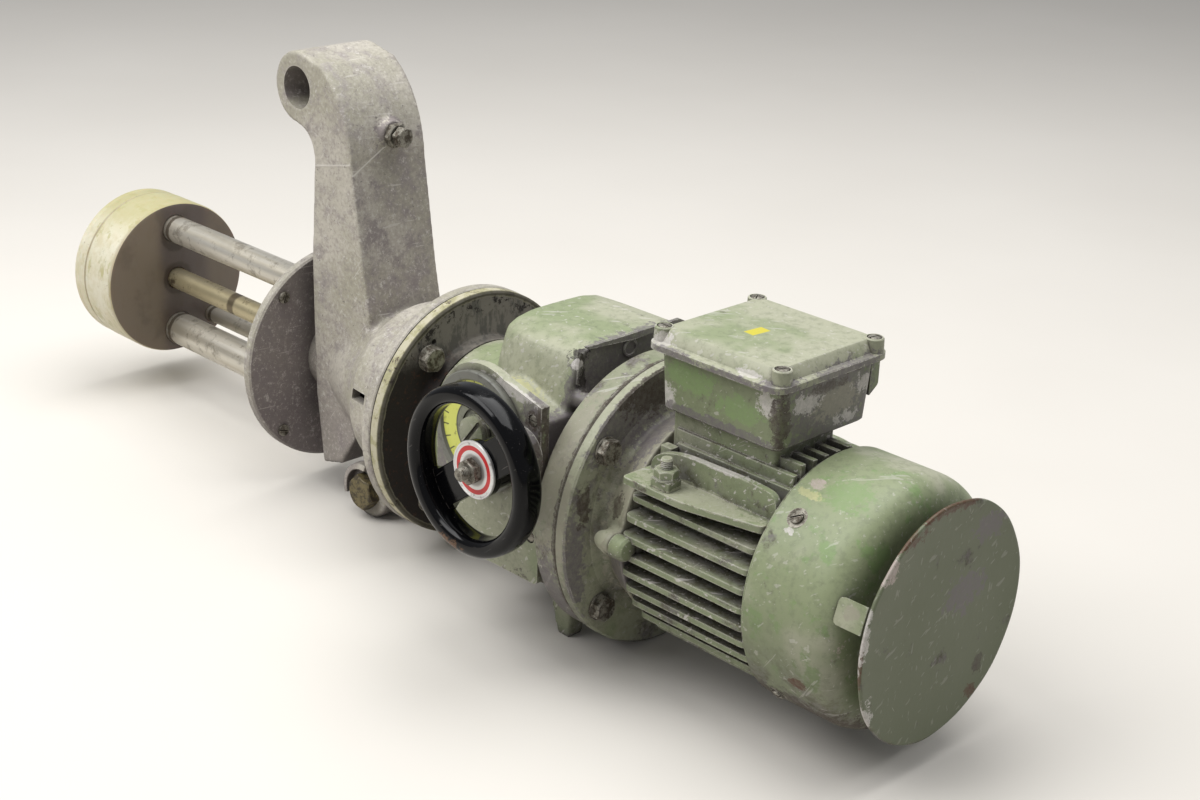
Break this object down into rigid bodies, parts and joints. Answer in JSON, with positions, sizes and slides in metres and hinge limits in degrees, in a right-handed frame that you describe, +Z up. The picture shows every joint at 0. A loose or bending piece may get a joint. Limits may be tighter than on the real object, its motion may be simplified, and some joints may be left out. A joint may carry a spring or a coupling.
{
  "type": "paint pump with variable-speed geared motor",
  "caption": "Electric paint pump: plastic pump head on tie rods, cast bracket with hanging arm, variable-speed gearbox with handwheel, flanged motor with rain canopy.",
  "frame": {"origin": "on the floor, under the middle of the whole pump's box", "axes": "+X along the drive line towards the motor's fan end, +Y away from the handwheel, +Z up"},
  "size_m": [0.8774, 0.2496, 0.3438],
  "materials": {
    "green_paint": "scratched sage green paint over cast metal",
    "cream_paint": "cream primer with rust",
    "cast_aluminium": "bare sand-cast aluminium, stained",
    "bright_steel": "stainless rod with dirt rings",
    "bolt_steel": "dull zinc-plated steel",
    "ivory_plastic": "yellowed ivory plastic with stains",
    "black_plastic": "glossy black moulded plastic",
    "disc_aluminium": "printed silver disc with a plain red ring",
    "dial_face": "yellow-green dial in a grey bezel",
    "brass": "dull olive brass"
  },
  "bodies": {
    "pump": {"head_cover": "ivory_plastic", "head_body": "ivory_plastic", "tie_rod_upper": "bright_steel", "tie_rod_rear": "bright_steel", "discharge_tube": "bright_steel", "bracket_casting": "cast_aluminium", "set_screw": "bolt_steel", "lock_nut": "bolt_steel", "port_plug": "brass", "gearbox_flange": "cream_paint", "flange_bolt_1": "bolt_steel", "flange_bolt_2": "bolt_steel", "flange_bolt_3": "bolt_steel", "flange_bolt_4": "bolt_steel", "gearbox_housing": "green_paint", "gearbox_cover": "green_paint", "speed_dial": "dial_face", "dial_knob": "green_paint", "motor_end_shield": "green_paint", "motor_bolt_1": "bolt_steel", "motor_bolt_2": "bolt_steel", "motor_bolt_3": "bolt_steel", "motor_bolt_4": "bolt_steel", "stator_housing": "green_paint", "earth_stud": "green_paint", "terminal_box": "green_paint", "terminal_lid": "green_paint", "lid_screw_1": "bolt_steel", "lid_screw_2": "bolt_steel", "lid_screw_3": "bolt_steel", "lid_screw_4": "bolt_steel", "cable_entry": "green_paint", "fan_cowl": "green_paint", "rain_canopy": "green_paint", "canopy_strap_1": "green_paint", "canopy_strap_2": "green_paint"},
    "shaft": {"drive_shaft": "bright_steel"},
    "hand_drive": {"handwheel": "black_plastic", "handwheel_disc": "disc_aluminium", "hand_spindle": "bolt_steel"}
  },
  "joints": [
    {"name": "shaft_turn", "type": "hinge", "parent": "pump", "child": "shaft", "pos_m": [-0.24775, 0.024, 0.1008], "axis": [1, 0, 0], "continuous": true},
    {"name": "handwheel_turn", "type": "hinge", "parent": "pump", "child": "hand_drive", "pos_m": [0.16775, -0.106, 0.1458], "axis": [0, -1, 0], "range_deg": [-810, 810]}
  ]
}
